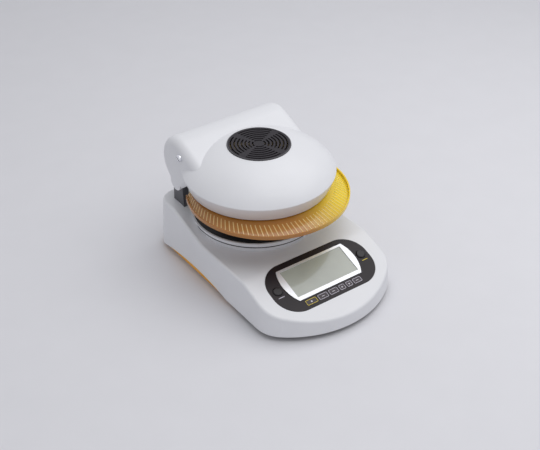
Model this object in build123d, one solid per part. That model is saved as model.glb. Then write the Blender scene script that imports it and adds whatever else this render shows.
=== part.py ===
from build123d import *
import os
from math import atan2, cos, degrees, radians, sin, sqrt, tan

# Infrared moisture analyzer: a low wedge-shaped balance with a sloping control panel,
# a black drying chamber on a round collar, and a domed heater head on a rear hinge.
# Frame: +Z up, -Y towards the operator, origin in the middle of the footprint at the table.
# All sizes are in millimetres.

# General clearances
fit_gap = 0.3
wall = 3.0
screw_radius = 1.5
screw_head_radius = 3.0
screw_head_height = 1.8

# Base housing
base_width = 224.0
base_length = 340.0
front_radius = 150.0
corner_radius = 45.0
rear_radius = 30.0
shell_bottom = 8.0
side_draft = 5.0
draft_height = 100.0
crease_fillet = 4.0
nose_height = 27.0
deck_height = 63.0
deck_start = -64.0
deck_end = 40.0
shoulder_start = 120.0
shoulder_height = 84.0
deck_blend = 40.0
arch_rise = 8.0
arch_y = 60.0
arch_length = 170.0

# Underside tray and feet
tray_thickness = 3.0
tray_inset = 4.0
tray_rim = 14.0
foot_radius = 10.0
foot_height = 5.0
foot_inset_x = 34.0
foot_inset_y = 48.0
boss_radius = 4.5
boss_inset_x = 16.0
boss_front_y = -70.0
boss_rear_y = 90.0
boss_top = 44.0

# Drying chamber on the base
pan_y = 58.0
collar_top = 80.0
collar_radius = 97.0
collar_foot_radius = 90.0
collar_lip = 2.5
recess_floor = 71.0
chamber_wall = 1.5
spindle_radius = 4.0
spindle_hole_radius = 9.0
support_radius = 48.0
support_thickness = 2.0
support_arm = 8.0
support_z = 84.0
pan_radius = 62.0
pan_height = 12.0
pan_wall = 0.8

# Weighing cell inside the base
cell_length = 110.0
cell_width = 26.0
cell_height = 22.0
cell_z = 30.0
cell_end = 22.0
cell_bore = 7.0

# Control panel on the slope
panel_width = 172.0
panel_height = 82.0
panel_corner = 36.0
panel_thickness = 2.0
panel_proud = 0.4
panel_ledge = 4.0
panel_y = -100.0
lcd_width = 110.0
lcd_height = 49.0
lcd_offset = 5.0
lcd_bow = 6.0
lcd_top_bar = 2.0
lcd_side_bar = 2.5
lcd_bottom_bar = 4.5
lcd_frame_proud = 0.9
glass_thickness = 1.5
key_height = 8.5
key_gap = 3.0
key_offset = -31.5
key_proud = 0.5
key_corner = 1.5
key_travel = 0.5
key_depth = 4.0
key_widths = [18.0, 16.0, 15.0, 9.5, 9.5, 14.0]
button_radius = 7.0
button_x = 74.0
button_offset = 3.0
button_proud = 2.4
board_thickness = 1.6
board_depth = 8.5
board_width = 150.0
board_height = 66.0
switch_side = 6.0

# Heater head
head_y = 50.0
dome_radius = 112.0
dome_reach = 118.0
dome_top = 196.0
dome_equator = 132.0
crease_height = 152.0
crease_round = 1.5
band_radius = 104.0
head_bottom = 131.0
head_wall = 3.0
vent_radius = 46.0
grille_thickness = 3.0
grille_flange = 4.0
grille_hub = 5.0
grille_slots = 7
slot_width = 2.4
spoke_count = 4
spoke_angle = 16.0
spoke_start = 20.0

# Rear hood, arms and hinge
hinge_y = 129.0
hinge_z = 121.0
tip_radius = 16.0
hood_radius = 40.0
hood_y = 126.0
hood_z = 154.0
hood_front_y = 50.0
hood_front_top = 166.0
hood_front_low = 131.0
hood_bottom = 136.0
hood_fillet = 13.0
arm_face = 96.0
arm_wall = 4.0
pin_radius = 4.0
pin_fit = 0.05
lug_thickness = 10.0
lug_gap = 1.0
lug_radius = 12.0
lug_foot = 30.0
knob_radius = 5.5
knob_y = 110.0
knob_z = 172.0
knob_height = 4.0
knob_slot = 1.2

# Amber draught shield
shield_y = 28.0
shield_radius = 119.0
shield_low = 121.0
shield_rise = 9.7
shield_thickness = 2.0
shield_lip = 5.0
shield_inner_radius = 97.0
shield_end = 84.0

# Heater under the dome
liner_thickness = 1.5
liner_z = 139.0
reflector_radius = 78.0
reflector_top_radius = 62.0
reflector_depth = 26.0
reflector_wall = 1.0
lamp_ring_radius = 48.0
lamp_tube_radius = 5.0
lamp_z = 149.0
heater_glass_radius = 82.0
heater_glass = 3.0
ring_width = 4.0
probe_radius = 1.5
probe_length = 12.0

# Rear connectors
connector_z = 40.0
rear_skin = 2.0
pin_length = 5.0
pin_setback = 8.0
inlet_x = -62.0
inlet_width = 28.0
inlet_height = 22.0
inlet_depth = 22.0
rocker_x = -20.0
rocker_width = 11.0
rocker_height = 17.0
rocker_frame = 2.0
serial_x = 35.0
serial_width = 31.0
serial_height = 12.0
serial_depth = 12.0
fuse_x = 78.0
fuse_radius = 7.0

# Power section and main board
main_board_length = 90.0
main_board_width = 60.0
main_board_x = 62.0
main_board_y = 20.0
board_post = 8.0
transformer_side = 44.0
transformer_height = 34.0
transformer_x = -70.0
transformer_y = 60.0

half_width = base_width / 2
half_length = base_length / 2
tray_top = foot_height + tray_thickness
slope = atan2(deck_height - nose_height, deck_start + half_length)
slope_sin = sin(slope)
slope_cos = cos(slope)
panel_z = nose_height + (panel_y + half_length) * tan(slope)
panel_middle = Plane(origin=(0, panel_y, panel_z), x_dir=(1, 0, 0), z_dir=(0, -slope_sin, slope_cos))
lug_outer = arm_face - arm_wall - lug_gap
lug_inner = lug_outer - lug_thickness
spindle_top = support_z
rear_face = half_length - side_draft * (connector_z - shell_bottom) / (draft_height - shell_bottom)
lean = (dome_radius - band_radius) / (crease_height - head_bottom)
liner_radius = band_radius - head_wall + lean * (liner_z - head_bottom) - fit_gap
lamp_seat = liner_z + liner_thickness + reflector_depth - reflector_wall


def upright(radius, bottom, top, x=0.0, y=0.0):
    """Upright cylinder between two heights."""
    return Pos(x, y, (bottom + top) / 2) * Cylinder(radius, top - bottom)


def slab(width, length, bottom, top, x=0.0, y=0.0):
    """Upright block between two heights."""
    return Pos(x, y, (bottom + top) / 2) * Box(width, length, top - bottom)


def crosswise(radius, start, end, y, z):
    """Cylinder along X between two x values."""
    return Pos((start + end) / 2, y, z) * Rot(0, 90, 0) * Cylinder(radius, abs(end - start))


def turned(*points, y=0.0):
    """Solid of revolution about an upright axis, from a profile of radius and height points."""
    return Pos(0, y, 0) * revolve(Plane.XZ * Polygon(*points, align=None), Axis.Z)


def plate(width, height, corner, thickness):
    """Flat plate with round corners, standing on z = 0."""
    return extrude(RectangleRounded(width, height, corner), amount=thickness)


def on_panel(x, along, out=0.0):
    """Place on the panel: x across it, along up the slope from its middle, out from its surface."""
    return Location(panel_middle) * Pos(x, along, out)


def base_outline(inset):
    """Plan of the base: bowed front, round corners, straight sides and rear."""
    front_y = front_radius - half_length
    corner_x = half_width - corner_radius
    reach = front_radius - corner_radius
    corner_y = front_y - sqrt(reach**2 - corner_x**2)
    rear_x = half_width - rear_radius
    rear_y = half_length - rear_radius
    turn = degrees(atan2(front_y - corner_y, corner_x))
    side = half_width - inset
    rear = half_length - inset
    return make_face(
        [
            CenterArc((corner_x, corner_y), corner_radius - inset, -turn, turn),
            Line((side, corner_y), (side, rear_y)),
            CenterArc((rear_x, rear_y), rear_radius - inset, 0, 90),
            Line((rear_x, rear), (-rear_x, rear)),
            CenterArc((-rear_x, rear_y), rear_radius - inset, 90, 90),
            Line((-side, rear_y), (-side, corner_y)),
            CenterArc((-corner_x, corner_y), corner_radius - inset, 180, turn),
            CenterArc((0, front_y), front_radius - inset, 180 + turn, 180 - 2 * turn),
        ]
    )


def draft_block(inset, bottom):
    """Block on the base outline whose walls lean in, from bottom to above the deck."""
    draft = side_draft / (draft_height - shell_bottom)
    low = Pos(0, 0, bottom) * base_outline(inset + draft * (bottom - shell_bottom))
    high = Pos(0, 0, draft_height) * base_outline(inset + side_draft)
    return loft([low, high], ruled=True)


def deck_block(drop):
    """Everything under the deck: nose, sloping panel, level deck and rear shoulder."""
    beyond = half_length + 2 * wall
    nose = nose_height - 2 * wall * tan(slope) - drop
    shoulder = shoulder_height - drop
    deck = FilletPolyline(
        (-beyond, nose),
        (deck_start, deck_height - drop),
        (deck_end, deck_height - drop),
        (shoulder_start, shoulder),
        (beyond, shoulder),
        radius=deck_blend,
    )
    floor = Polyline((beyond, shoulder), (beyond, 0), (-beyond, 0), (-beyond, nose))
    face = make_face([*deck.edges(), *floor.edges()])
    return extrude(Plane.YZ * face, amount=half_width, both=True)


def is_crease(edge):
    """True for edges round the top of the wall, not its foot, its seams or folds across the deck."""
    size = edge.bounding_box().size
    seam = size.Z > 4 * max(size.X, size.Y)
    fold = size.Y + size.Z < 1
    return edge.center().Z > shell_bottom + wall and not seam and not fold


def collar():
    """Solid form of the round collar."""
    foot = deck_height - 3 * wall
    return turned(
        (0, foot),
        (collar_foot_radius, foot),
        (collar_foot_radius, deck_height - wall),
        (collar_radius, collar_top),
        (0, collar_top),
        y=pan_y,
    )


def collar_hollow():
    """Space inside the collar, under its floor."""
    inner = collar_foot_radius - wall
    high = recess_floor - wall
    return turned((0, shell_bottom), (inner, shell_bottom), (inner, high), (0, high), y=pan_y)


def side_arch():
    """Long low arch cut in the foot of both side walls."""
    radius = (arch_length**2 / 4 + arch_rise**2) / (2 * arch_rise)
    disc = Pos(arch_y, shell_bottom + arch_rise - radius) * Circle(radius)
    cut = extrude(Plane.YZ * disc, amount=half_width, both=True)
    keep = Box(base_width - 3 * wall, base_length + wall, 4 * radius)
    return cut - keep


def boss_places():
    """Places of the case screws."""
    x = half_width - boss_inset_x
    return [(side * x, y) for side in (-1, 1) for y in (boss_front_y, boss_rear_y)]


def foot_places():
    """Places of the four feet."""
    x = half_width - foot_inset_x
    y = half_length - foot_inset_y
    return [(sx * x, sy * y) for sx in (-1, 1) for sy in (-1, 1)]


def rear_opening(x, width, height):
    """Opening through the rear wall."""
    return Pos(x, half_length, connector_z) * Box(width + 2 * fit_gap, 6 * wall, height + 2 * fit_gap)


def base_shell():
    """Upper housing with the collar, the panel opening, the side arches and the rear openings."""
    body = draft_block(0, shell_bottom) & deck_block(0)
    body = fillet(body.edges().filter_by(is_crease), crease_fillet)
    recess_radius = collar_radius - collar_lip
    kept = upright(recess_radius + wall, recess_floor - wall, draft_height, 0, pan_y)
    hollow = (draft_block(wall, shell_bottom - wall) & deck_block(wall)) - kept + collar_hollow()
    body = body + collar() - upright(recess_radius, recess_floor, draft_height, 0, pan_y)
    body = body - hollow - side_arch()
    body -= upright(spindle_hole_radius, deck_height, collar_top, 0, pan_y)
    seat = plate(panel_width + 2 * fit_gap, panel_height + 2 * fit_gap, panel_corner, 2 * wall)
    inner = (panel_width - 2 * panel_ledge, panel_height - 2 * panel_ledge)
    window = plate(*inner, panel_corner - panel_ledge, 6 * wall)
    body -= on_panel(0, 0, panel_proud - panel_thickness) * seat
    body -= on_panel(0, 0, -4 * wall) * window
    body -= rear_opening(inlet_x, inlet_width, inlet_height)
    body -= rear_opening(rocker_x, rocker_width + 2 * rocker_frame, rocker_height + 2 * rocker_frame)
    body -= rear_opening(serial_x, serial_width, serial_height)
    body -= Pos(fuse_x, half_length, connector_z) * Rot(90, 0, 0) * Cylinder(fuse_radius + fit_gap, 6 * wall)
    for x, y in boss_places():
        post = upright(boss_radius, tray_top, boss_top, x, y)
        middle = (x + half_width * (1 if x > 0 else -1)) / 2
        web = slab(boss_inset_x, wall, foot_height + tray_rim + 1, boss_top, middle, y)
        body += (post + web) & draft_block(wall / 2, shell_bottom - wall)
        body -= upright(screw_radius, tray_top - 1, boss_top - wall, x, y)
    return body


def base_tray():
    """Underside tray with a low rim inside the shell."""
    floor = extrude(Pos(0, 0, foot_height) * base_outline(tray_inset), amount=tray_thickness)
    rim_outer = extrude(Pos(0, 0, foot_height) * base_outline(tray_inset), amount=tray_rim)
    rim_inner = extrude(Pos(0, 0, foot_height - 1) * base_outline(tray_inset + wall / 2), amount=tray_rim + 2)
    rim = (rim_outer - rim_inner) - slab(base_width, base_length, tray_top, draft_height, 0, boss_front_y - half_length)
    body = floor + rim
    for x, y in boss_places():
        body -= upright(boss_radius + fit_gap, tray_top, draft_height, x, y)
        body -= upright(screw_radius + fit_gap, 0, tray_top + 1, x, y)
    for x, y in foot_places():
        body -= upright(screw_radius + fit_gap, 0, tray_top + 1, x, y)
    vent = SlotOverall(40, 3)
    for i in range(5):
        body -= Pos(0, -20 + 10 * i, 0) * extrude(vent, amount=tray_top + 1)
    return body


def feet():
    """Rubber feet with a recess for their screw."""
    made = []
    for x, y in foot_places():
        foot = fillet(upright(foot_radius, 0, foot_height, x, y).edges().group_by(Axis.Z)[0], 1.2)
        foot -= upright(screw_head_radius + fit_gap, -1, 3, x, y)
        made.append(foot - upright(screw_radius + fit_gap, 0, foot_height + 1, x, y))
    return made


def screw(x, y, head_bottom_z, length):
    """Pan-head screw from below, its head down."""
    head = upright(screw_head_radius, head_bottom_z, head_bottom_z + screw_head_height, x, y)
    shank = upright(screw_radius, head_bottom_z + screw_head_height, head_bottom_z + length, x, y)
    return head + shank - slab(2 * screw_head_radius + 1, 0.8, head_bottom_z - 1, head_bottom_z + 0.7, x, y)


def foot_screws():
    """Screws that hold the feet to the tray, with nuts on the tray."""
    made = []
    for x, y in foot_places():
        nut = Pos(x, y, tray_top) * extrude(RegularPolygon(screw_head_radius, 6), amount=2.0)
        made.append(screw(x, y, 3 - screw_head_height, tray_top + 1) + nut)
    return made


def case_screws():
    """Screws from below that hold the tray to the shell's bosses."""
    return [screw(x, y, foot_height - screw_head_height, 20) for x, y in boss_places()]


def chamber_plate():
    """Black heat-proof dish that lines the collar."""
    outer = collar_radius - collar_lip - fit_gap
    body = turned(
        (spindle_hole_radius, recess_floor),
        (outer, recess_floor),
        (outer, collar_top - 0.5),
        (outer - chamber_wall, collar_top - 0.5),
        (outer - 3 * chamber_wall, recess_floor + 2 * chamber_wall),
        (outer - 8 * chamber_wall, recess_floor + chamber_wall),
        (spindle_hole_radius + 6, recess_floor + chamber_wall),
        (spindle_hole_radius + 4, recess_floor + 3 * chamber_wall),
        (spindle_hole_radius, recess_floor + 3 * chamber_wall),
        y=pan_y,
    )
    return body


def pan_spindle():
    """Spindle from the weighing cell up to the pan support."""
    top = cell_z + cell_height
    post = upright(spindle_radius, top, spindle_top, 0, pan_y)
    foot = upright(cell_width / 3, top, top + 4, 0, pan_y)
    skirt = upright(spindle_hole_radius + 5, recess_floor + 5, recess_floor + 6.5, 0, pan_y)
    return post + foot + skirt


def pan_support():
    """Three-armed wire-like support with an upturned ring, carried on the spindle."""
    ring = upright(support_radius, support_z, support_z + support_thickness, 0, pan_y)
    ring -= upright(support_radius - support_thickness * 2, 0, draft_height, 0, pan_y)
    body = ring + upright(2 * spindle_radius, support_z, support_z + support_thickness, 0, pan_y)
    reach = support_radius - support_thickness
    for i in range(3):
        arm = Pos(reach / 2, 0, support_z + support_thickness / 2) * Box(reach, support_arm, support_thickness)
        body += Pos(0, pan_y, 0) * Rot(0, 0, 90 + 120 * i) * arm
    return body


def sample_pan():
    """Shallow metal dish with a rolled rim."""
    low = support_z + support_thickness
    return turned(
        (0, low),
        (pan_radius - 2, low),
        (pan_radius, low + 2),
        (pan_radius, low + pan_height - pan_wall),
        (pan_radius + 2, low + pan_height - pan_wall),
        (pan_radius + 2, low + pan_height),
        (pan_radius - pan_wall, low + pan_height),
        (pan_radius - pan_wall, low + 2.4),
        (pan_radius - 2.4, low + pan_wall),
        (0, low + pan_wall),
        y=pan_y,
    )


def load_cell():
    """Weighing cell: a bar with two pairs of bores that thin it to flexures."""
    middle = pan_y + cell_end / 2 - cell_length / 2
    body = slab(cell_width, cell_length, cell_z, cell_z + cell_height, 0, middle)
    centre = cell_z + cell_height / 2
    for y in (middle - cell_length / 4, middle + cell_length / 4):
        body -= crosswise(cell_bore, -cell_width, cell_width, y, centre)
    body -= slab(cell_width + 2, cell_length / 2, centre - 3, centre + 3, 0, middle)
    return body


def cell_bracket():
    """Block that lifts the fixed end of the cell off the tray."""
    end = pan_y + cell_end / 2 - cell_length
    foot = slab(cell_width + 20, cell_end + 6, tray_top, tray_top + 5, 0, end + cell_end / 2 + 3)
    block = slab(cell_width, cell_end, tray_top, cell_z, 0, end + cell_end / 2)
    return foot + block


def control_panel():
    """Dark panel with its screen window, key holes and button holes, and posts for the board."""
    body = plate(panel_width, panel_height, panel_corner, panel_thickness)
    body = Pos(0, 0, panel_proud - panel_thickness) * body
    window = Pos(0, lcd_offset, -wall) * Rectangle(lcd_width, lcd_height)
    body -= extrude(window, amount=2 * wall)
    for x, width in key_places():
        hole = plate(width + 2 * fit_gap, key_height + 2 * fit_gap, key_corner + fit_gap, 2 * wall)
        body -= Pos(x, key_offset, -wall) * hole
    for side in (-1, 1):
        body -= Pos(side * button_x, button_offset, 0) * Cylinder(button_radius + fit_gap, 4 * wall)
    low = -board_depth
    for sx in (-1, 1):
        for sy in (-1, 1):
            x = sx * (board_width / 2 - 8)
            y = sy * (board_height / 2 - 7)
            body += upright(2.5, low, panel_proud - panel_thickness / 2, x, y) & Box(base_width, base_length, 40)
    return on_panel(0, 0) * body


def key_places():
    """Middle and width of each key, from left to right."""
    total = sum(key_widths) + key_gap * (len(key_widths) - 1)
    start = -total / 2
    made = []
    for width in key_widths:
        made.append((start + width / 2, width))
        start += width + key_gap
    return made


def panel_key(x, width):
    """Small rectangular key with a raised border."""
    body = plate(width, key_height, key_corner, key_depth + key_proud)
    border = plate(width - 1.6, key_height - 1.6, key_corner / 2, key_proud)
    body = Pos(0, 0, -key_depth) * body
    body -= Pos(0, 0, key_proud / 2) * border
    return on_panel(x, key_offset) * body


def panel_button(side):
    """Round domed push button."""
    low = -key_depth
    body = upright(button_radius, low, button_proud)
    body = fillet(body.edges().group_by(Axis.Z)[-1], button_proud - 0.4)
    return on_panel(side * button_x, button_offset) * body


def lcd_frame():
    """Bright frame of the screen, its sides bowed outwards."""
    half = lcd_width / 2
    low = lcd_offset - lcd_height / 2 - lcd_bottom_bar
    high = lcd_offset + lcd_height / 2 + lcd_top_bar
    middle = (low + high) / 2
    side = half + lcd_side_bar
    bow = side + lcd_bow
    face = make_face(
        [
            Line((-side + lcd_bow / 2, low), (side - lcd_bow / 2, low)),
            ThreePointArc((side - lcd_bow / 2, low), (bow, middle), (side, high)),
            Line((side, high), (-side, high)),
            ThreePointArc((-side, high), (-bow, middle), (-side + lcd_bow / 2, low)),
        ]
    )
    body = Pos(0, 0, panel_proud) * extrude(face, amount=lcd_frame_proud)
    window = Pos(0, lcd_offset, 0) * Rectangle(lcd_width - 3, lcd_height - 3)
    body -= extrude(window, amount=2 * wall)
    return on_panel(0, 0) * body


def lcd_glass():
    """Window of the screen, in the panel's opening under the frame."""
    body = Pos(0, lcd_offset, panel_proud - glass_thickness) * Box(
        lcd_width - 2 * fit_gap, lcd_height - 2 * fit_gap, glass_thickness, align=(Align.CENTER, Align.CENTER, Align.MIN)
    )
    return on_panel(0, 0) * body


def lcd_module():
    """Screen module between the window and the display board."""
    top = panel_proud - glass_thickness
    low = -board_depth
    body = Pos(0, lcd_offset, low) * Box(
        lcd_width - 4, lcd_height - 4, top - low, align=(Align.CENTER, Align.CENTER, Align.MIN)
    )
    return on_panel(0, 0) * body


def display_board():
    """Circuit board under the panel that carries the screen and the switches."""
    body = Pos(0, 0, -board_depth - board_thickness) * plate(board_width, board_height, 4, board_thickness)
    return on_panel(0, 0) * body


def key_switches():
    """Push switches on the display board, one under each key and button."""
    places = [(x, key_offset) for x, width in key_places()]
    places += [(side * (board_width / 2 - 4), button_offset) for side in (-1, 1)]
    top = -key_depth - key_travel - 0.1
    made = []
    for x, along in places:
        height = top + board_depth
        body = Pos(0, 0, -board_depth + height / 4) * Box(switch_side, switch_side, height / 2)
        body += upright(1.75, -board_depth, top)
        made.append(on_panel(x, along) * body)
    return made


def main_board():
    """Main circuit board on posts, with its tallest parts."""
    low = tray_top + board_post
    x, y = main_board_x, main_board_y
    body = slab(main_board_width, main_board_length, low, low + board_thickness, x, y)
    for sx in (-1, 1):
        for sy in (-1, 1):
            px = x + sx * (main_board_width / 2 - 5)
            py = y + sy * (main_board_length / 2 - 5)
            body += upright(3, tray_top, low, px, py)
    top = low + board_thickness
    body += slab(20, 20, top, top + 3, x - 8, y)
    body += slab(12, 30, top, top + 12, x + 15, y - 20)
    for i in range(3):
        body += upright(5, top, top + 16, x - 15 + 12 * i, y + 32)
    return body


def transformer():
    """Mains transformer on the tray: laminated core with its winding."""
    x, y = transformer_x, transformer_y
    core = slab(transformer_side, transformer_side * 0.6, tray_top, tray_top + transformer_height, x, y)
    coil = slab(transformer_side * 0.55, transformer_side, tray_top + 5, tray_top + transformer_height - 5, x, y)
    feet_plate = slab(transformer_side + 16, 12, tray_top, tray_top + 2, x, y)
    return core + coil + feet_plate


def power_inlet():
    """Three-pin mains inlet in the rear wall."""
    body = Pos(inlet_x, rear_face - inlet_depth / 2, connector_z) * Box(inlet_width, inlet_depth, inlet_height)
    floor_y = rear_face - pin_setback - pin_length
    socket = Box(inlet_width - 5, 2 * (rear_face - floor_y), inlet_height - 5)
    body -= Pos(inlet_x, rear_face, connector_z) * socket
    for x, z in ((-6, -2), (6, -2), (0, 4)):
        body += Pos(inlet_x + x, floor_y, connector_z + z) * Box(1.6, 2 * pin_length, 4)
    return body


def serial_port():
    """Nine-way serial connector in the rear wall."""
    y = rear_face - rear_skin - serial_depth / 2
    body = Pos(serial_x, y, connector_z) * Box(serial_width, serial_depth, serial_height)
    shroud = Pos(serial_x, rear_face - rear_skin, connector_z) * Rot(90, 0, 0)
    body += shroud * extrude(RectangleRounded(18, 9, 2.5), amount=rear_skin + 1, both=True)
    body -= shroud * extrude(RectangleRounded(16, 7, 1.8), amount=5, both=True)
    for i in range(5):
        pin = Pos(serial_x - 5.4 + 2.7 * i, rear_face - rear_skin - 4, connector_z) * Rot(90, 0, 0)
        body += pin * Cylinder(0.5, 6)
    return body


def fuse_cap():
    """Fuse holder with a slotted cap."""
    body = Pos(fuse_x, rear_face - 7, connector_z) * Rot(90, 0, 0) * Cylinder(fuse_radius, 16)
    body += Pos(fuse_x, rear_face + 1, connector_z) * Rot(90, 0, 0) * Cylinder(fuse_radius + 1, 1)
    return body - Pos(fuse_x, half_length, connector_z) * Box(8, 2, 1.2)


def rocker_housing():
    """Frame of the power switch."""
    y = rear_face
    width = rocker_width + 2 * rocker_frame
    height = rocker_height + 2 * rocker_frame
    body = Pos(rocker_x, y - 8, connector_z) * Box(width, 16, height)
    return body - Pos(rocker_x, y, connector_z) * Box(rocker_width + 2 * fit_gap, 16, rocker_height + 2 * fit_gap)


def power_rocker():
    """Rocker of the power switch, on its own axle."""
    y = rear_face - 3
    outline = make_hull(
        [
            *Circle(3).edges(),
            Line((2.5, -rocker_height / 2 + 1), (3.2, rocker_height / 2 - 1)),
        ]
    )
    body = Pos(rocker_x, y, connector_z) * extrude(Plane.YZ * outline, amount=rocker_width / 2 - fit_gap, both=True)
    return body


def dome_face(inset):
    """Half section of the dome: an ellipse over a band that narrows downwards."""
    low = head_bottom if inset == 0 else head_bottom - head_wall
    high = dome_top + wall
    radius = band_radius - inset
    limit = Polygon(
        (0, low),
        (radius + lean * (low - head_bottom), low),
        (radius + lean * (high - head_bottom), high),
        (0, high),
        align=None,
    )
    oval = Pos(0, dome_equator) * Ellipse(dome_reach - inset, dome_top - dome_equator - inset)
    face = (oval + Pos(0, dome_equator - wall) * Rectangle(2 * radius, 2 * wall)) & limit
    if inset:
        return face
    return fillet(face.vertices().sort_by(Axis.X)[-1], crease_round)


def dome_solid(inset):
    """Full dome, or its inside when inset is the wall."""
    return Pos(0, head_y, 0) * revolve(Plane.XZ * dome_face(inset), Axis.Z)


def hood_solid(inset):
    """Rear hood with its arms: round at the back, with rounded tips about the hinge."""
    face_x = arm_face if inset == 0 else arm_face - arm_wall
    back = Pos(hood_y, hood_z) * Circle(hood_radius - inset)
    tip = Pos(hinge_y, hinge_z) * Circle(tip_radius - inset)
    front = Line((hood_front_y, hood_front_top - inset), (hood_front_y, hood_front_low))
    cover = make_hull([*back.edges(), front])
    arms = make_hull([*back.edges(), *tip.edges()])
    cover = cover - Pos(0, hood_bottom - 50) * Rectangle(4 * base_length, 100 + 2 * (head_bottom - hood_bottom))
    face = cover + arms
    body = extrude(Plane.YZ * face, amount=face_x, both=True)
    ends = body.faces().filter_by(Axis.X)
    return fillet(ends.edges().filter_by(is_outside), hood_fillet - inset)


def is_outside(edge):
    """True for hood edges that the dome doesn't cover."""
    return edge.center().Y > hood_front_y + 1 and edge.center().Z > 0


def head_cover():
    """White dome with its rear hood and arms, as one thin moulding."""
    outer = dome_solid(0) + hood_solid(0)
    inner = dome_solid(head_wall) + hood_solid(arm_wall)
    open_bottom = slab(2 * (arm_face - arm_wall), 2 * hood_radius, 0, hood_bottom, 0, hinge_y)
    body = outer - inner - open_bottom
    body -= upright(vent_radius + fit_gap, crease_height, dome_top + 5, 0, head_y)
    for side in (-1, 1):
        inner_x = lug_outer + lug_gap / 2
        boss = crosswise(tip_radius - 3, side * inner_x, side * (arm_face - 1), hinge_y, hinge_z)
        body += boss
        body -= crosswise(pin_radius, side * (inner_x - 2), side * (arm_face - 2), hinge_y, hinge_z)
        body -= crosswise(screw_radius, side * (arm_face - 2 * arm_wall), side * (arm_face + 1), knob_y, knob_z)
    return body


def grille_height(radius):
    """Height of the dome's outer face at a radius from its axis."""
    return dome_equator + (dome_top - dome_equator) * sqrt(1 - (radius / dome_reach) ** 2)


def vent_grille():
    """Round black grille: ring slots between wedge-shaped spokes, on a flange under the cover."""
    top = grille_height(vent_radius) + 1
    low = top - grille_thickness
    seat = low - head_wall
    body = upright(vent_radius, low, top) + upright(vent_radius, seat, low) - upright(vent_radius - 2, seat - 1, low)
    pitch = (vent_radius - grille_hub - 4) / grille_slots
    slots = None
    for i in range(grille_slots):
        outer = grille_hub + pitch * (i + 1)
        ring = upright(outer, low - 1, top + 1) - upright(outer - slot_width, low - 2, top + 2)
        slots = ring if slots is None else slots + ring
    for i in range(spoke_count):
        half = radians(spoke_angle / 2)
        tip = Polygon(
            (0, 0),
            (vent_radius * cos(half), -vent_radius * sin(half)),
            (vent_radius * cos(half), vent_radius * sin(half)),
            align=None,
        )
        slots -= Rot(0, 0, spoke_start + i * 360 / spoke_count) * Pos(0, 0, low - 3) * extrude(tip, amount=12)
    flange = upright(vent_radius + grille_flange, seat - 1.2, seat) - upright(vent_radius - 2, seat - 2, seat + 1)
    return Pos(0, head_y, 0) * (body - slots + flange)


def amber_shield():
    """Amber flange round the front of the head, widest in front and gone at the arms."""
    inner = Pos(0, head_y, shield_low + shield_rise) * Circle(shield_inner_radius)
    outer = Pos(0, shield_y, shield_low) * Circle(shield_radius)
    form = loft([outer, inner], ruled=True)
    skin = form - Pos(0, 0, -shield_thickness) * form
    lip = upright(shield_radius, shield_low, shield_low + shield_lip, 0, shield_y)
    lip -= upright(shield_radius - shield_thickness, 0, draft_height * 2, 0, shield_y)
    rear = slab(3 * shield_radius, 3 * shield_radius, 0, 2 * dome_top, 0, shield_end + 1.5 * shield_radius)
    body = skin + lip - rear
    return body - upright(shield_inner_radius, 0, 2 * dome_top, 0, head_y)


def head_liner():
    """Metal plate that closes the dome from below, with a hole for the reflector."""
    body = upright(liner_radius, liner_z, liner_z + liner_thickness, 0, head_y)
    body -= upright(reflector_radius - ring_width, 0, dome_top, 0, pan_y)
    for side in (-1, 1):
        x = side * (lug_inner + lug_thickness / 2)
        body -= slab(lug_thickness + 4 * lug_gap, base_length, 0, dome_top, x, head_y + base_length / 2 + 20)
    return body


def reflector():
    """Spun metal bowl over the lamp."""
    low = liner_z + liner_thickness
    high = low + reflector_depth
    outer = reflector_radius
    body = turned(
        (outer - reflector_wall, low),
        (outer + ring_width, low),
        (outer + ring_width, low + reflector_wall),
        (outer, low + reflector_wall),
        (reflector_top_radius, high),
        (0, high),
        (0, high - reflector_wall),
        (reflector_top_radius - reflector_wall / 2, high - reflector_wall),
        y=pan_y,
    )
    return body


def heater_lamp():
    """Ring-shaped quartz lamp, open at the rear where its two ends are held."""
    gap = 10
    tube = Pos(lamp_ring_radius, 0) * Circle(lamp_tube_radius)
    body = revolve(Plane.XZ * tube, Axis.Z, revolution_arc=360 - 2 * gap)
    body = Pos(0, pan_y, lamp_z) * Rot(0, 0, 90 + gap) * body
    return body


def lamp_holders():
    """Ceramic holders that clasp the lamp's ends and hang from the reflector."""
    made = []
    for side in (-1, 1):
        x = side * 8.0
        y = pan_y + lamp_ring_radius
        block = slab(9, 16, lamp_z - 7, lamp_seat, x, y)
        made.append(block - crosswise(lamp_tube_radius + 1.2, x - 6, x + 6, y - 0.9, lamp_z))
    return made


def heater_window():
    """Round glass under the lamp."""
    return upright(heater_glass_radius, liner_z - heater_glass, liner_z, 0, pan_y)


def window_ring():
    """Ring that clamps the glass under the liner plate."""
    outer = heater_glass_radius + ring_width
    body = upright(outer, liner_z - heater_glass - 1.2, liner_z, 0, pan_y)
    body -= upright(heater_glass_radius + fit_gap, liner_z - heater_glass, liner_z + 1, 0, pan_y)
    return body - upright(heater_glass_radius - ring_width, 0, dome_top, 0, pan_y)


def temperature_probe():
    """Small probe that hangs through the liner in front of the glass."""
    y = pan_y - heater_glass_radius - 2 * ring_width
    body = upright(probe_radius, liner_z - probe_length, liner_z, 0, y)
    return body + upright(2 * probe_radius, liner_z - 2, liner_z, 0, y)


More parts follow.
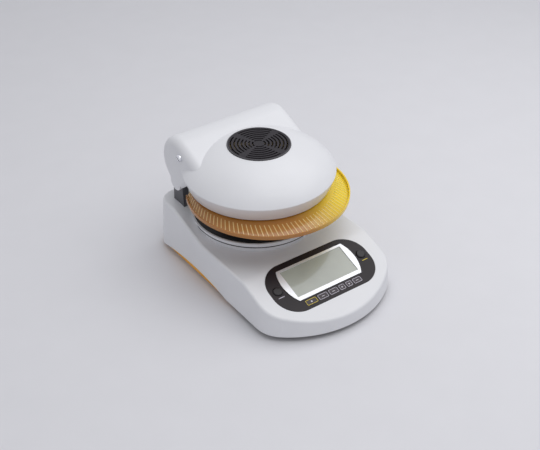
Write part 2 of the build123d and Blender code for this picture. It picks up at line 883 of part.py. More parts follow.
def hinge_lug(side):
    """Bracket that stands on the rear deck and carries the hinge pin."""
    foot = Line((hinge_y - lug_foot / 2, deck_height), (hinge_y + lug_foot / 2, deck_height))
    outline = make_hull([*(Pos(hinge_y, hinge_z) * Circle(lug_radius)).edges(), foot])
    middle = side * (lug_inner + lug_thickness / 2)
    body = Pos(middle, 0, 0) * extrude(Plane.YZ * outline, amount=lug_thickness / 2, both=True)
    body -= deck_block(0)
    return body - crosswise(pin_radius + pin_fit, middle - lug_thickness, middle + lug_thickness, hinge_y, hinge_z)


def hinge_pin(side):
    """Pin pressed into the arm's boss that turns in the bracket."""
    ends = (side * (lug_inner - 2), side * (arm_face - 2))
    body = crosswise(pin_radius, *ends, hinge_y, hinge_z)
    cap = (side * (lug_inner - 2), side * (lug_inner - 0.5))
    return body + crosswise(pin_radius + 2, *cap, hinge_y, hinge_z)


def arm_knob(side):
    """Bright slotted screw on the outside of an arm."""
    head = crosswise(knob_radius, side * arm_face, side * (arm_face + knob_height), knob_y, knob_z)
    tip = head.edges().filter_by(GeomType.CIRCLE).sort_by(Axis.X)[-1 if side > 0 else 0]
    head = fillet(tip, 2.5)
    shank = crosswise(screw_radius, side * (arm_face - 2 * arm_wall), side * arm_face, knob_y, knob_z)
    slot = Pos(side * (arm_face + knob_height), knob_y, knob_z) * Rot(30, 0, 0) * Box(3, 3 * knob_radius, knob_slot)
    nut = crosswise(3.0, side * (arm_face - arm_wall - 2.4), side * (arm_face - arm_wall), knob_y, knob_z)
    return head + shank - slot + nut


def save(name, *solids):
    """Write one sub-part, whose solids may lie apart."""
    shape = solids[0] if len(solids) == 1 else Compound(children=list(solids))
    export_step(shape, f"parts/{name}.step")
    print(name, len(shape.solids()), round(shape.volume))


def main():
    os.makedirs("parts", exist_ok=True)
    single = [
        base_shell,
        base_tray,
        chamber_plate,
        pan_spindle,
        pan_support,
        sample_pan,
        load_cell,
        cell_bracket,
        control_panel,
        lcd_frame,
        lcd_glass,
        lcd_module,
        display_board,
        main_board,
        transformer,
        power_inlet,
        serial_port,
        fuse_cap,
        rocker_housing,
        power_rocker,
        head_cover,
        vent_grille,
        amber_shield,
        head_liner,
        reflector,
        heater_lamp,
        heater_window,
        window_ring,
        temperature_probe,
    ]
    for make in single:
        save(make.__name__, make())
    for make in (feet, foot_screws, case_screws, key_switches, lamp_holders):
        save(make.__name__, *make())
    for i, (x, width) in enumerate(key_places()):
        save(f"key_{i + 1}", panel_key(x, width))
    for name, side in (("left", -1), ("right", 1)):
        save(f"button_{name}", panel_button(side))
        save(f"hinge_lug_{name}", hinge_lug(side))
        save(f"hinge_pin_{name}", hinge_pin(side))
        save(f"arm_knob_{name}", arm_knob(side))


if __name__ == "__main__":
    main()
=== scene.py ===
from math import atan2, cos, pi, radians, sin

import bpy
from mathutils import Matrix, Vector


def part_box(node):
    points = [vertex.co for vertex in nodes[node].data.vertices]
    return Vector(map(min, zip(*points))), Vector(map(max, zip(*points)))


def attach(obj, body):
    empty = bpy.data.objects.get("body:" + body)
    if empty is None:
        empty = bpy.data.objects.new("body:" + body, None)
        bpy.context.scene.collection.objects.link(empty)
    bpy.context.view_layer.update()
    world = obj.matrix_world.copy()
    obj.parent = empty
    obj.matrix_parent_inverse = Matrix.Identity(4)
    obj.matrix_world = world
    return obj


bl_info = {
    "name": "Moisture Analyzer Finishes",
    "version": (1, 0, 0),
    "blender": (4, 5, 0),
    "location": "View3D > Sidebar > Analyzer",
    "description": "Finishes and small details of a bench moisture analyzer",
    "category": "Object",
}

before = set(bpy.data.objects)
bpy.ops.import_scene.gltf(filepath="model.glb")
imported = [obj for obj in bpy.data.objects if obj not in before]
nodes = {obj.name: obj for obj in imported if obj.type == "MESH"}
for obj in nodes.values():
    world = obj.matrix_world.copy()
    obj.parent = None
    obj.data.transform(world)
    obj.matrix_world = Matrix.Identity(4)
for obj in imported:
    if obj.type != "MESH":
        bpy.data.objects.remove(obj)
mm = 0.001

# Slope of the control panel, in millimetres, as in the model
slope_rise = 36.0
slope_run = 106.0
slope_foot_height = 27.0
panel_middle_y = -100.0
foot_to_middle = 70.0
panel_middle_height = slope_foot_height + foot_to_middle * slope_rise / slope_run
panel_tilt = atan2(slope_rise, slope_run)
panel_middle = Vector((0.0, panel_middle_y, panel_middle_height)) * mm
panel_along = Vector((0.0, cos(panel_tilt), sin(panel_tilt)))
panel_out = Vector((0.0, -sin(panel_tilt), cos(panel_tilt)))

# Keys and round buttons, in millimetres, as in the model
key_widths = (18.0, 16.0, 15.0, 9.5, 9.5, 14.0)
key_height = 8.5
key_gap = 3.0
key_offset = -31.5
button_x = 74.0

# Prints on the panel, in millimetres: how thick they are and how far out of the slope they start
border_rise = 0.12
border_level = 0.5
border_margin = 0.3
border_corner = 1.35
mark_rise = 0.1
mark_level = 0.25
mark_edge = 0.12
mark_crown = 0.06
line_level = 0.4
line_offset = -7.5

# Head, in millimetres, as in the model: the vent, and two circles on the amber shield's top
vent_middle_y = 50.0
rim_radius = 45.2
rim_thickness = 0.9
rim_flatness = 0.6
shield_inner_radius = 97.0
shield_inner_y = 50.0
shield_inner_height = 130.7
shield_outer_radius = 119.0
shield_outer_y = 28.0
shield_outer_height = 121.0

# Ribs on the shield: the arc they fill, their ends as shares of the way from the inner circle
# to the outer, and their hindmost Y in millimetres
rib_arc = (radians(-206), radians(26))
rib_reach = (0.36, 0.985)
rib_back = 82.0

# Finishes: depth of the moulded grain in metres, the specular level of dull plastic, and where,
# in metres, the painted shade fades out on the amber along X and on the tray's nose along Y
grain_depth = 0.0002
dull_specular = 0.25
amber_shade_change = (-0.03, 0.09)
tray_shade_change = (-0.0675, -0.0225)

# Stage, in metres, with the lens in millimetres
floor_size = 8.0
lamp_aim = Vector((0, 0, 0.1))
side_share = 0.08
camera_place = Vector((-0.7132, -0.9666, 0.9250))
camera_aim = Vector((-0.0155, 0.0015, 0.0839))
camera_lens = 67.29


def key_middles():
    """X of each key's middle in millimetres, from left to right."""
    start = -(sum(key_widths) + key_gap * (len(key_widths) - 1)) / 2
    middles = []
    for width in key_widths:
        middles.append(start + width / 2)
        start += width + key_gap
    return middles


def on_panel(x, along, out):
    """Matrix of a place on the panel, in millimetres from its middle."""
    place = panel_middle + Vector((x, 0, 0)) * mm
    place += panel_along * along * mm + panel_out * out * mm
    return Matrix.Translation(place) @ Matrix.Rotation(panel_tilt, 4, "X")


def settle(piece, matrix, body, material):
    """Put a modelled piece in its place, with its place in its mesh, and hand it to its body."""
    piece.data.transform(matrix @ piece.matrix_world)
    piece.matrix_world = Matrix.Identity(4)
    piece.data.materials.clear()
    piece.data.materials.append(material)
    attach(piece, body)
    return piece


def start_piece():
    """Leave edit mode and deselect everything before a new primitive is added."""
    if bpy.context.object and bpy.context.object.mode != "OBJECT":
        bpy.ops.object.mode_set(mode="OBJECT")
    bpy.ops.object.select_all(action="DESELECT")


def raised_border(name, width, height, band, rise):
    """Thin raised border with rounded corners, modelled flat about the origin."""
    start_piece()
    bpy.ops.mesh.primitive_plane_add(size=1)
    piece = bpy.context.object
    piece.name = name
    bpy.ops.object.mode_set(mode="EDIT")
    bpy.ops.mesh.select_all(action="SELECT")
    bpy.ops.transform.resize(value=(width * mm, height * mm, 1))
    bpy.ops.mesh.bevel(offset=border_corner * mm, segments=4, affect="VERTICES")
    bpy.ops.mesh.inset(thickness=band * mm, depth=0)
    bpy.ops.mesh.delete(type="ONLY_FACE")
    bpy.ops.mesh.select_all(action="SELECT")
    bpy.ops.mesh.extrude_region_move(TRANSFORM_OT_translate={"value": (0, 0, rise * mm)})
    bpy.ops.mesh.select_all(action="SELECT")
    bpy.ops.mesh.normals_make_consistent(inside=False)
    bpy.ops.object.mode_set(mode="OBJECT")
    return piece


def raised_outline(name, vertices, radius, rise, stretch=(1, 1), turn=0.0):
    """Small raised mark with a softened top edge, from a circle of a few corners."""
    start_piece()
    bpy.ops.mesh.primitive_circle_add(vertices=vertices, radius=radius * mm, fill_type="NGON")
    piece = bpy.context.object
    piece.name = name
    bpy.ops.object.mode_set(mode="EDIT")
    bpy.ops.mesh.select_all(action="SELECT")
    if turn:
        bpy.ops.transform.rotate(value=turn, orient_axis="Z", center_override=(0, 0, 0))
    bpy.ops.transform.resize(value=(stretch[0], stretch[1], 1))
    bpy.ops.mesh.extrude_region_move(TRANSFORM_OT_translate={"value": (0, 0, rise * mm)})
    bpy.ops.mesh.inset(thickness=mark_edge * mm, depth=mark_crown * mm)
    bpy.ops.mesh.select_all(action="SELECT")
    bpy.ops.mesh.normals_make_consistent(inside=False)
    bpy.ops.object.mode_set(mode="OBJECT")
    return piece


# Shader groups


def grain_group():
    """Moulded grain: a soft large mottle and a fine texture, as a value and a height."""
    found = bpy.data.node_groups.get("Moulded Grain")
    if found:
        return found
    group = bpy.data.node_groups.new("Moulded Grain", "ShaderNodeTree")
    face = group.interface
    face.new_socket("Vector", in_out="INPUT", socket_type="NodeSocketVector")
    face.new_socket("Fine Scale", in_out="INPUT", socket_type="NodeSocketFloat").default_value = 900
    face.new_socket("Mottle Scale", in_out="INPUT", socket_type="NodeSocketFloat").default_value = 18
    face.new_socket("Mottle", in_out="OUTPUT", socket_type="NodeSocketFloat")
    face.new_socket("Height", in_out="OUTPUT", socket_type="NodeSocketFloat")
    enter = group.nodes.new("NodeGroupInput")
    leave = group.nodes.new("NodeGroupOutput")
    fine = group.nodes.new("ShaderNodeTexNoise")
    fine.inputs["Detail"].default_value = 3
    mottle = group.nodes.new("ShaderNodeTexNoise")
    mottle.inputs["Detail"].default_value = 2
    link = group.links.new
    link(enter.outputs["Vector"], fine.inputs["Vector"])
    link(enter.outputs["Vector"], mottle.inputs["Vector"])
    link(enter.outputs["Fine Scale"], fine.inputs["Scale"])
    link(enter.outputs["Mottle Scale"], mottle.inputs["Scale"])
    link(mottle.outputs["Fac"], leave.inputs["Mottle"])
    link(fine.outputs["Fac"], leave.inputs["Height"])
    return group


def two_tone_group():
    """Soft change from one colour to another along a position, between its start and its end."""
    found = bpy.data.node_groups.get("Two Tones")
    if found:
        return found
    group = bpy.data.node_groups.new("Two Tones", "ShaderNodeTree")
    face = group.interface
    face.new_socket("Position", in_out="INPUT", socket_type="NodeSocketFloat")
    face.new_socket("Start", in_out="INPUT", socket_type="NodeSocketFloat")
    face.new_socket("End", in_out="INPUT", socket_type="NodeSocketFloat")
    face.new_socket("First Tone", in_out="INPUT", socket_type="NodeSocketColor")
    face.new_socket("Second Tone", in_out="INPUT", socket_type="NodeSocketColor")
    face.new_socket("Color", in_out="OUTPUT", socket_type="NodeSocketColor")
    enter = group.nodes.new("NodeGroupInput")
    leave = group.nodes.new("NodeGroupOutput")
    spread = group.nodes.new("ShaderNodeMapRange")
    spread.interpolation_type = "SMOOTHSTEP"
    mix = group.nodes.new("ShaderNodeMix")
    mix.data_type = "RGBA"
    tones = [socket for socket in mix.inputs if socket.type == "RGBA"]
    mixed = [socket for socket in mix.outputs if socket.type == "RGBA"][0]
    link = group.links.new
    link(enter.outputs["Position"], spread.inputs["Value"])
    link(enter.outputs["Start"], spread.inputs["From Min"])
    link(enter.outputs["End"], spread.inputs["From Max"])
    link(spread.outputs["Result"], mix.inputs["Factor"])
    link(enter.outputs["First Tone"], tones[0])
    link(enter.outputs["Second Tone"], tones[1])
    link(mixed, leave.inputs["Color"])
    return group


# Finishes


def surface(
    name, colour, roughness, metallic=0.0, coat=0.0, fine=900.0, bump=0.03, shift=0.06, wear=0.06
):
    """Principled finish with a mottled colour, a varied sheen and a fine bump."""
    material = bpy.data.materials.new(name)
    material.use_nodes = True
    tree = material.node_tree
    shader = tree.nodes["Principled BSDF"]
    link = tree.links.new
    place = tree.nodes.new("ShaderNodeTexCoord")
    grain = tree.nodes.new("ShaderNodeGroup")
    grain.node_tree = grain_group()
    grain.inputs["Fine Scale"].default_value = fine
    link(place.outputs["Object"], grain.inputs["Vector"])
    ramp = tree.nodes.new("ShaderNodeValToRGB")
    ramp.name = "Mottled Colour"
    ramp.color_ramp.elements[0].position = 0.3
    ramp.color_ramp.elements[1].position = 0.7
    ramp.color_ramp.elements[0].color = (*[c * (1 - shift) for c in colour], 1)
    ramp.color_ramp.elements[1].color = (*[min(1, c * (1 + shift / 2)) for c in colour], 1)
    link(grain.outputs["Mottle"], ramp.inputs["Fac"])
    link(ramp.outputs["Color"], shader.inputs["Base Color"])
    sheen = tree.nodes.new("ShaderNodeMapRange")
    sheen.inputs["To Min"].default_value = max(0.02, roughness - wear)
    sheen.inputs["To Max"].default_value = roughness + wear
    link(grain.outputs["Height"], sheen.inputs["Value"])
    link(sheen.outputs["Result"], shader.inputs["Roughness"])
    height = tree.nodes.new("ShaderNodeBump")
    height.inputs["Strength"].default_value = bump
    height.inputs["Distance"].default_value = grain_depth
    link(grain.outputs["Height"], height.inputs["Height"])
    link(height.outputs["Normal"], shader.inputs["Normal"])
    shader.inputs["Metallic"].default_value = metallic
    shader.inputs["Coat Weight"].default_value = coat
    return material


def clear(name, colour, roughness, transmission):
    """See-through finish."""
    material = surface(name, colour, roughness, coat=0.3, bump=0.01, shift=0.05, wear=0.02)
    shader = material.node_tree.nodes["Principled BSDF"]
    shader.inputs["Transmission Weight"].default_value = transmission
    return material


def two_tones(material, axis, change, first, second):
    """Colour a finish with two tones, the first below the change on X or Y, the second above."""
    tree = material.node_tree
    tree.nodes.remove(tree.nodes["Mottled Colour"])
    place = tree.nodes.new("ShaderNodeTexCoord")
    split = tree.nodes.new("ShaderNodeSeparateXYZ")
    tones = tree.nodes.new("ShaderNodeGroup")
    tones.node_tree = two_tone_group()
    tones.inputs["Start"].default_value = change[0]
    tones.inputs["End"].default_value = change[1]
    tones.inputs["First Tone"].default_value = (*first, 1)
    tones.inputs["Second Tone"].default_value = (*second, 1)
    link = tree.links.new
    link(place.outputs["Object"], split.inputs["Vector"])
    link(split.outputs[axis], tones.inputs["Position"])
    link(tones.outputs["Color"], tree.nodes["Principled BSDF"].inputs["Base Color"])
    return material


def amber_surface(name, colour, shaded):
    """Clear amber plastic, darker towards its left end; the darker tone is painted shade."""
    return two_tones(clear(name, colour, 0.22, 0.25), "X", amber_shade_change, shaded, colour)


def tray_surface(name, colour, nose_shade):
    """Orange tray whose nose, ahead of the side arches, is dark with painted shade from the shell's
    overhang above it.
    """
    material = surface(name, colour, 0.42, fine=800, bump=0.08)
    return two_tones(material, "Y", tray_shade_change, nose_shade, colour)


def screen_surface(name, colour):
    """Grey-green liquid crystal screen with its faint dot grid."""
    material = surface(name, colour, 0.25, coat=0.6, bump=0.02, shift=0.1)
    tree = material.node_tree
    shader = tree.nodes["Principled BSDF"]
    link = tree.links.new
    place = tree.nodes.new("ShaderNodeTexCoord")
    dots = tree.nodes.new("ShaderNodeTexVoronoi")
    dots.distance = "CHEBYCHEV"
    dots.inputs["Scale"].default_value = 1400
    dots.inputs["Randomness"].default_value = 0
    link(place.outputs["Object"], dots.inputs["Vector"])
    grid = tree.nodes.new("ShaderNodeMapRange")
    grid.inputs["To Min"].default_value = 0.92
    grid.inputs["To Max"].default_value = 1.0
    link(dots.outputs["Distance"], grid.inputs["Value"])
    scale = tree.nodes.new("ShaderNodeVectorMath")
    scale.operation = "SCALE"
    link(tree.nodes["Mottled Colour"].outputs["Color"], scale.inputs[0])
    link(grid.outputs["Result"], scale.inputs["Scale"])
    link(scale.outputs["Vector"], shader.inputs["Base Color"])
    return material


# Settings


class AnalyzerColours(bpy.types.PropertyGroup):
    """Colours of the visible finishes"""

    housing: bpy.props.FloatVectorProperty(
        name="Housing",
        description="White of the housing",
        subtype="COLOR",
        size=3,
        default=(0.72, 0.725, 0.755),
    )
    panel: bpy.props.FloatVectorProperty(
        name="Panel",
        description="Dark control panel",
        subtype="COLOR",
        size=3,
        default=(0.014, 0.010, 0.012),
    )
    screen: bpy.props.FloatVectorProperty(
        name="Screen",
        description="Liquid crystal screen",
        subtype="COLOR",
        size=3,
        default=(0.37, 0.39, 0.345),
    )
    # The shield's two tones are a lit and a shaded copy of one amber; the shaded one is painted shade.
    amber: bpy.props.FloatVectorProperty(
        name="Amber",
        description="Draught shield, lit side",
        subtype="COLOR",
        size=3,
        default=(1.0, 0.74, 0.01),
    )
    painted_shade_amber: bpy.props.FloatVectorProperty(
        name="Painted shade amber",
        description="Draught shield, deep side",
        subtype="COLOR",
        size=3,
        default=(0.48, 0.20, 0.035),
    )
    tray: bpy.props.FloatVectorProperty(
        name="Tray",
        description="Underside tray",
        subtype="COLOR",
        size=3,
        default=(0.86, 0.40, 0.03),
    )
    first_outline: bpy.props.FloatVectorProperty(
        name="First outline",
        description="Border of the first key",
        subtype="COLOR",
        size=3,
        default=(0.80, 0.62, 0.05),
    )
    outline: bpy.props.FloatVectorProperty(
        name="Outline",
        description="Border of the other keys",
        subtype="COLOR",
        size=3,
        default=(0.60, 0.57, 0.66),
    )


class AnalyzerSizes(bpy.types.PropertyGroup):
    """Sizes of the small details"""

    border: bpy.props.FloatProperty(
        name="Key border",
        description="Width of a key's border",
        subtype="DISTANCE",
        default=0.00055,
        min=0.0002,
        max=0.00075,
    )
    rib_step: bpy.props.FloatProperty(
        name="Rib step",
        description="Angle between shield ribs",
        subtype="ANGLE",
        default=radians(3.4),
    )
    rib_width: bpy.props.FloatProperty(
        name="Rib width",
        description="Width of a shield rib",
        subtype="DISTANCE",
        default=0.0012,
    )
    rib_height: bpy.props.FloatProperty(
        name="Rib height",
        description="Height of a shield rib",
        subtype="DISTANCE",
        default=0.0008,
    )
    key_light: bpy.props.FloatProperty(
        name="Key light",
        description="Strength of the main lamp",
        subtype="POWER",
        default=13.0,
    )
    fill_light: bpy.props.FloatProperty(
        name="Fill light",
        description="Strength of the sky",
        default=0.55,
    )


# Pieces


class ANALYZER_OT_node_finishes(bpy.types.Operator):
    """Give every modelled part its finish"""

    bl_idname = "analyzer.node_finishes"
    bl_label = "Part Finishes"

    def execute(self, context):
        c = context.scene.analyzer_colours
        housing = surface("White housing", c.housing, 0.42, coat=0.08, fine=700, bump=0.05, shift=0.02)
        panel = surface("Panel film", c.panel, 0.38, fine=1500, bump=0.06, shift=0.25)
        black = surface("Black plastic", (0.02, 0.02, 0.023), 0.5, fine=1200, bump=0.08, shift=0.2)
        vent = surface("Vent plastic", (0.018, 0.015, 0.019), 0.44, fine=1300, bump=0.08, shift=0.2)
        dish = surface("Black enamel", (0.012, 0.012, 0.014), 0.55, fine=800, bump=0.12, shift=0.3)
        steel = surface(
            "Satin steel", (0.58, 0.59, 0.61), 0.30, metallic=1, fine=300, bump=0.008, wear=0.03
        )
        pan = surface(
            "Pan aluminium", (0.74, 0.75, 0.77), 0.28, metallic=1, fine=250, bump=0.008, wear=0.03
        )
        cell = surface("Milled aluminium", (0.60, 0.61, 0.63), 0.38, metallic=1, fine=300, bump=0.015)
        chrome = surface("Chrome", (0.80, 0.81, 0.84), 0.10, metallic=1, bump=0.01, wear=0.04)
        bezel = surface(
            "Silver bezel",
            (0.70, 0.71, 0.74),
            0.32,
            metallic=0.5,
            coat=0.2,
            fine=300,
            bump=0.003,
            wear=0.02,
        )
        lug = surface("Dark grey bracket", (0.07, 0.07, 0.08), 0.42, coat=0.1, fine=900, bump=0.06)
        board = surface("Board laminate", (0.01, 0.10, 0.035), 0.4, fine=700, bump=0.04, shift=0.2)
        varnish = surface("Varnished core", (0.05, 0.05, 0.06), 0.35, metallic=0.3, fine=500, bump=0.1)
        liner = surface(
            "Liner sheet", (0.42, 0.43, 0.45), 0.34, metallic=1, fine=300, bump=0.01, wear=0.03
        )
        mirror = surface("Gold reflector", (0.80, 0.68, 0.42), 0.16, metallic=1, bump=0.02)
        ceramic = surface("Ceramic", (0.74, 0.71, 0.63), 0.5, fine=1000, bump=0.08)
        rubber = surface("Rubber", (0.02, 0.02, 0.02), 0.75, fine=1000, bump=0.15, shift=0.3)
        key = surface(
            "Key plastic", (0.055, 0.045, 0.052), 0.42, coat=0.1, fine=1500, bump=0.05, shift=0.2
        )
        button = surface(
            "Button gloss", (0.012, 0.010, 0.011), 0.26, coat=0.1, fine=900, bump=0.01, shift=0.2
        )
        # The tray's dark nose is painted shade.
        tray = tray_surface("Orange tray", c.tray, (0.05, 0.03, 0.02))
        screen = screen_surface("Screen glass", c.screen)
        # The amber shield darkens towards its left end: painted shade.
        amber = amber_surface("Amber shield", c.amber, c.painted_shade_amber)
        quartz = clear("Quartz", (0.92, 0.92, 0.90), 0.05, 0.9)
        window = clear("Heater window", (0.90, 0.91, 0.90), 0.04, 0.9)
        for dull in (panel, vent, black, key, button):
            shader = dull.node_tree.nodes["Principled BSDF"]
            shader.inputs["Specular IOR Level"].default_value = dull_specular
        finishes = {
            housing: ("base_shell", "head_cover"),
            panel: ("control_panel",),
            black: ("power_inlet", "fuse_cap", "rocker_housing", "power_rocker", "key_switches"),
            vent: ("vent_grille",),
            dish: ("chamber_plate",),
            steel: (
                "pan_spindle",
                "pan_support",
                "window_ring",
                "temperature_probe",
                "foot_screws",
                "case_screws",
                "serial_port",
            ),
            pan: ("sample_pan",),
            cell: ("load_cell", "cell_bracket"),
            chrome: ("hinge_pin_left", "hinge_pin_right", "arm_knob_left", "arm_knob_right"),
            bezel: ("lcd_frame",),
            lug: ("hinge_lug_left", "hinge_lug_right"),
            board: ("display_board", "main_board"),
            varnish: ("transformer",),
            liner: ("head_liner",),
            mirror: ("reflector",),
            ceramic: ("lamp_holders",),
            rubber: ("feet",),
            key: tuple(f"key_{i + 1}" for i in range(len(key_widths))),
            button: ("button_left", "button_right"),
            tray: ("base_tray",),
            screen: ("lcd_glass", "lcd_module"),
            amber: ("amber_shield",),
            quartz: ("heater_lamp",),
            window: ("heater_window",),
        }
        for finish, names in finishes.items():
            for name in names:
                for place in nodes[name].material_slots:
                    place.material = finish
        return {"FINISHED"}


class ANALYZER_OT_key_borders(bpy.types.Operator):
    """Add the printed border round each key"""

    bl_idname = "analyzer.key_borders"
    bl_label = "Key Borders"

    def execute(self, context):
        c = context.scene.analyzer_colours
        s = context.scene.analyzer_sizes
        first = surface("Yellow print", c.first_outline, 0.4, bump=0.02, shift=0.05)
        other = surface("Pale print", c.outline, 0.4, bump=0.02, shift=0.05)
        for i, (x, width) in enumerate(zip(key_middles(), key_widths)):
            piece = raised_border(
                f"key_border_{i + 1}",
                width - border_margin,
                key_height - border_margin,
                s.border / mm,
                border_rise,
            )
            ink = first if i == 0 else other
            settle(piece, on_panel(x, key_offset, border_level), f"key_{i + 1}", ink)
        return {"FINISHED"}


class ANALYZER_OT_key_marks(bpy.types.Operator):
    """Add the small printed marks on the keys"""

    bl_idname = "analyzer.key_marks"
    bl_label = "Key Marks"

    def execute(self, context):
        ink = surface("Pale ink", (0.66, 0.64, 0.70), 0.4, bump=0.02, shift=0.05)
        middles = key_middles()
        for i, turn in ((3, 0.0), (4, -pi)):
            arrow = raised_outline(
                f"key_arrow_{i + 1}", 3, 1.7, mark_rise, stretch=(1, 0.85), turn=turn
            )
            settle(arrow, on_panel(middles[i], key_offset, mark_level), f"key_{i + 1}", ink)
        for i in (1, 2, 5):
            dash = raised_outline(f"key_dash_{i + 1}", 12, 2.6, mark_rise, stretch=(1, 0.16))
            settle(dash, on_panel(middles[i], key_offset, mark_level), f"key_{i + 1}", ink)
        dot = raised_outline("key_dot_1", 24, 1.3, mark_rise)
        settle(dot, on_panel(middles[0], key_offset, mark_level), "key_1", ink)
        return {"FINISHED"}


class ANALYZER_OT_button_lines(bpy.types.Operator):
    """Add the printed line under each round button"""

    bl_idname = "analyzer.button_lines"
    bl_label = "Button Lines"

    def execute(self, context):
        c = context.scene.analyzer_colours
        pale = surface("Pale line", c.outline, 0.4, bump=0.02, shift=0.05)
        yellow = surface("Yellow line", c.first_outline, 0.4, bump=0.02, shift=0.05)
        for name, side, ink in (("left", -1, pale), ("right", 1, yellow)):
            line = raised_outline(f"button_line_{name}", 16, 5.5, mark_rise, stretch=(1, 0.09))
            settle(line, on_panel(side * button_x, line_offset, line_level), "base", ink)
        return {"FINISHED"}


class ANALYZER_OT_vent_rim(bpy.types.Operator):
    """Add the fine rolled rim round the vent grille"""

    bl_idname = "analyzer.vent_rim"
    bl_label = "Vent Rim"

    def execute(self, context):
        dark = surface("Vent rim", (0.035, 0.032, 0.038), 0.34, coat=0.2, bump=0.03, shift=0.1)
        start_piece()
        bpy.ops.mesh.primitive_torus_add(
            major_segments=96,
            minor_segments=10,
            major_radius=rim_radius * mm,
            minor_radius=rim_thickness * mm,
        )
        rim = context.object
        rim.name = "vent_rim"
        bpy.ops.object.mode_set(mode="EDIT")
        bpy.ops.mesh.select_all(action="SELECT")
        bpy.ops.transform.resize(value=(1, 1, rim_flatness))
        bpy.ops.object.mode_set(mode="OBJECT")
        bpy.ops.object.shade_smooth()
        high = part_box("vent_grille")[1][2]
        settle(rim, Matrix.Translation((0, vent_middle_y * mm, high)), "head", dark)
        return {"FINISHED"}


class ANALYZER_OT_shield_ribs(bpy.types.Operator):
    """Add the fine radial ribs on top of the amber shield"""

    bl_idname = "analyzer.shield_ribs"
    bl_label = "Shield Ribs"

    def execute(self, context):
        s = context.scene.analyzer_sizes
        # The ribs darken towards the left end like the shield: painted shade.
        amber = amber_surface("Rib amber", (1.0, 0.86, 0.16), (0.86, 0.60, 0.24))
        start_piece()
        bpy.ops.mesh.primitive_cube_add(size=1)
        rib = context.object
        rib.name = "shield_ribs"
        bpy.ops.object.mode_set(mode="EDIT")
        bpy.ops.mesh.select_all(action="SELECT")
        bpy.ops.transform.resize(value=(1, s.rib_width, s.rib_height))
        bpy.ops.object.mode_set(mode="OBJECT")
        first = rib.data.copy()
        made = []
        low, high = rib_arc
        count = int((high - low) / s.rib_step)
        for i in range(count + 1):
            turn = low + (high - low) * i / count
            inner = Vector((0, shield_inner_y, shield_inner_height))
            inner += Vector((cos(turn), sin(turn), 0)) * shield_inner_radius
            outer = Vector((0, shield_outer_y, shield_outer_height))
            outer += Vector((cos(turn), sin(turn), 0)) * shield_outer_radius
            start = inner.lerp(outer, rib_reach[0]) * mm
            end = inner.lerp(outer, rib_reach[1]) * mm
            if end.y > rib_back * mm:
                continue
            along = (end - start).normalized()
            across = Vector((-sin(turn), cos(turn), 0))
            across = (across - along * across.dot(along)).normalized()
            up = along.cross(across)
            if up.z < 0:
                across, up = -across, -up
            long = (end - start).length
            place = Matrix.Translation((start + end) / 2)
            axes = Matrix((along * long, across, up)).transposed().to_4x4()
            mesh = first.copy()
            mesh.transform(place @ axes)
            part = bpy.data.objects.new(f"shield_rib_{i}", mesh)
            context.scene.collection.objects.link(part)
            made.append(part)
        bpy.data.objects.remove(rib)
        start_piece()
        for part in made:
            part.select_set(True)
        context.view_layer.objects.active = made[0]
        bpy.ops.object.join()
        ribs = context.object
        ribs.name = "shield_ribs"
        settle(ribs, Matrix.Identity(4), "head", amber)
        return {"FINISHED"}


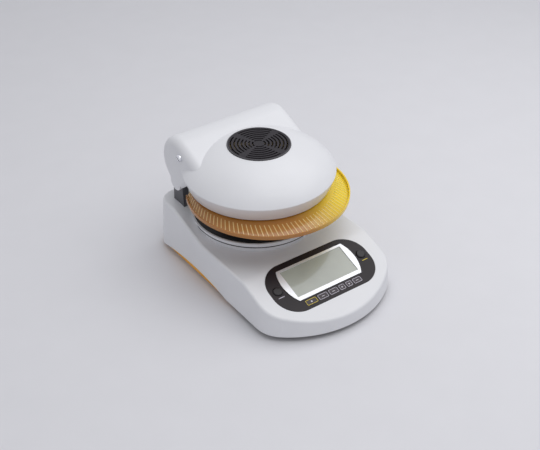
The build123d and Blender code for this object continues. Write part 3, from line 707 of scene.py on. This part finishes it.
class ANALYZER_OT_stage(bpy.types.Operator):
    """Add the floor, the lamps, the sky and the camera"""

    bl_idname = "analyzer.stage"
    bl_label = "Stage"

    def execute(self, context):
        s = context.scene.analyzer_sizes
        scene = context.scene
        start_piece()
        bpy.ops.mesh.primitive_plane_add(size=floor_size)
        floor = context.object
        floor.name = "floor"
        pale = surface("Pale floor", (0.70, 0.70, 0.735), 0.7, bump=0.01, shift=0.01)
        floor.data.materials.append(pale)
        world = bpy.data.worlds.new("Studio")
        scene.world = world
        world.use_nodes = True
        tree = world.node_tree
        fill = tree.nodes["Background"]
        fill.inputs["Color"].default_value = (0.97, 0.975, 1.0, 1)
        fill.inputs["Strength"].default_value = s.fill_light
        sky = tree.nodes.new("ShaderNodeBackground")
        sky.inputs["Color"].default_value = (0.76, 0.765, 0.81, 1)
        path = tree.nodes.new("ShaderNodeLightPath")
        pick = tree.nodes.new("ShaderNodeMixShader")
        link = tree.links.new
        seen = path.outputs["Is Camera Ray"]
        for ray in ("Is Glossy Ray", "Is Transmission Ray"):
            either = tree.nodes.new("ShaderNodeMath")
            either.operation = "MAXIMUM"
            link(seen, either.inputs[0])
            link(path.outputs[ray], either.inputs[1])
            seen = either.outputs["Value"]
        link(seen, pick.inputs["Fac"])
        link(fill.outputs["Background"], pick.inputs[1])
        link(sky.outputs["Background"], pick.inputs[2])
        link(pick.outputs["Shader"], tree.nodes["World Output"].inputs["Surface"])
        for name, place, size, power in (
            ("Main lamp", (0.5, -0.2, 1.4), 1.6, s.key_light),
            ("Side lamp", (-1.2, -0.9, 0.8), 0.9, s.key_light * side_share),
        ):
            start_piece()
            bpy.ops.object.light_add(type="AREA", location=place)
            lamp = context.object
            lamp.name = name
            lamp.data.size = size
            lamp.data.energy = power
            aim = lamp_aim - Vector(place)
            lamp.rotation_euler = aim.to_track_quat("-Z", "Y").to_euler()
        start_piece()
        bpy.ops.object.camera_add(location=camera_place)
        camera = context.object
        aim = camera_aim - camera.location
        camera.rotation_euler = aim.to_track_quat("-Z", "Y").to_euler()
        camera.data.sensor_fit = "HORIZONTAL"
        camera.data.sensor_width = 36
        camera.data.lens = camera_lens
        scene.camera = camera
        scene.view_settings.view_transform = "Standard"
        return {"FINISHED"}


class ANALYZER_PT_panel(bpy.types.Panel):
    """Settings and steps of the analyzer's finishes"""

    bl_idname = "ANALYZER_PT_panel"
    bl_label = "Moisture Analyzer"
    bl_space_type = "VIEW_3D"
    bl_region_type = "UI"
    bl_category = "Analyzer"

    def draw(self, context):
        layout = self.layout
        for group in (context.scene.analyzer_colours, context.scene.analyzer_sizes):
            box = layout.box()
            for name in group.__annotations__:
                box.prop(group, name)
        for operator in operators:
            layout.operator(operator.bl_idname)


operators = (
    ANALYZER_OT_node_finishes,
    ANALYZER_OT_key_borders,
    ANALYZER_OT_key_marks,
    ANALYZER_OT_button_lines,
    ANALYZER_OT_vent_rim,
    ANALYZER_OT_shield_ribs,
    ANALYZER_OT_stage,
)
classes = (AnalyzerColours, AnalyzerSizes, *operators, ANALYZER_PT_panel)


def register():
    for cls in classes:
        bpy.utils.register_class(cls)
    bpy.types.Scene.analyzer_colours = bpy.props.PointerProperty(type=AnalyzerColours)
    bpy.types.Scene.analyzer_sizes = bpy.props.PointerProperty(type=AnalyzerSizes)


def unregister():
    del bpy.types.Scene.analyzer_sizes
    del bpy.types.Scene.analyzer_colours
    for cls in reversed(classes):
        bpy.utils.unregister_class(cls)


def main():
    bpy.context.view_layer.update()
    register()
    bpy.ops.analyzer.node_finishes()
    bpy.ops.analyzer.key_borders()
    bpy.ops.analyzer.key_marks()
    bpy.ops.analyzer.button_lines()
    bpy.ops.analyzer.vent_rim()
    bpy.ops.analyzer.shield_ribs()
    bpy.ops.analyzer.stage()


if __name__ == "__main__":
    main()
